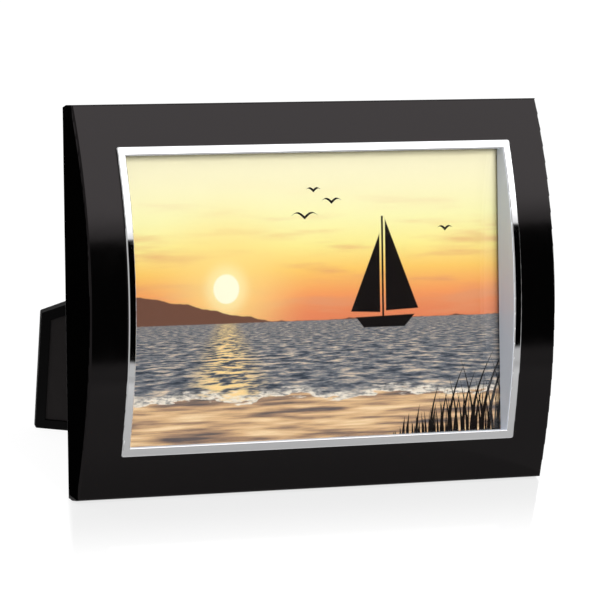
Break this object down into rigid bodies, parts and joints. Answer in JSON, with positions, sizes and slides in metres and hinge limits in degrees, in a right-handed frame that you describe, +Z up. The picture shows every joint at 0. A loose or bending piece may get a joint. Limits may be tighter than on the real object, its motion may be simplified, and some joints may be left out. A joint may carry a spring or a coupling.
{
  "type": "curved photo frame",
  "caption": "Table-top photo frame with a bowed gloss front, a bright trim around a recessed glazed print, and a folding diagonal easel leg.",
  "frame": {"origin": "middle of the bottom rest strip, on the surface that the frame stands on", "axes": "+Z up, front looking along -Y, +X to the right seen from the front"},
  "size_m": [0.18, 0.0745, 0.125],
  "materials": {
    "gloss_black": "polished moulded plastic",
    "chrome": "bright plated plastic",
    "clear_glass": "clear float glass",
    "print_paper": "resin coated photographic paper",
    "grey_card": "grey paperboard",
    "dark_board": "dark fibreboard",
    "matt_black": "fine textured moulded plastic",
    "steel": "zinc plated steel"
  },
  "bodies": {
    "frame": {"front_fascia": "gloss_black", "chrome_trim": "chrome", "glass_pane": "clear_glass", "photo_print": "print_paper", "backing_card": "grey_card", "back_panel": "dark_board", "rear_frame": "matt_black", "rear_frame_screws": "steel", "turn_button_screws": "steel", "leg_hinge_bracket": "steel", "leg_hinge_rivets": "steel", "leg_hinge_pin": "steel"},
    "leg": {"leg": "matt_black", "leg_inlay": "dark_board"},
    "turn_button_left": {"turn_button_left": "matt_black"},
    "turn_button_right": {"turn_button_right": "matt_black"},
    "turn_button_top": {"turn_button_top": "matt_black"},
    "turn_button_bottom": {"turn_button_bottom": "matt_black"}
  },
  "joints": [
    {"name": "leg_hinge", "type": "hinge", "parent": "frame", "child": "leg", "pos_m": [-0.0003, 0.03175, 0.08359], "axis": [-0.7071, 0.2115, 0.6747], "range_deg": [0, 32]},
    {"name": "turn_button_left_turn", "type": "hinge", "parent": "frame", "child": "turn_button_left", "pos_m": [-0.08275, 0.02064, 0.06119], "axis": [0, -0.9542, 0.299], "range_deg": [0, 90]},
    {"name": "turn_button_right_turn", "type": "hinge", "parent": "frame", "child": "turn_button_right", "pos_m": [0.08275, 0.02064, 0.06119], "axis": [0, 0.9542, -0.299], "range_deg": [0, 90]},
    {"name": "turn_button_top_turn", "type": "hinge", "parent": "frame", "child": "turn_button_top", "pos_m": [0.038, 0.03791, 0.1163], "axis": [0, 0.9542, -0.299], "range_deg": [0, 90]},
    {"name": "turn_button_bottom_turn", "type": "hinge", "parent": "frame", "child": "turn_button_bottom", "pos_m": [0.038, 0.00337, 0.00608], "axis": [0, 0.9542, -0.299], "range_deg": [0, 90]}
  ]
}
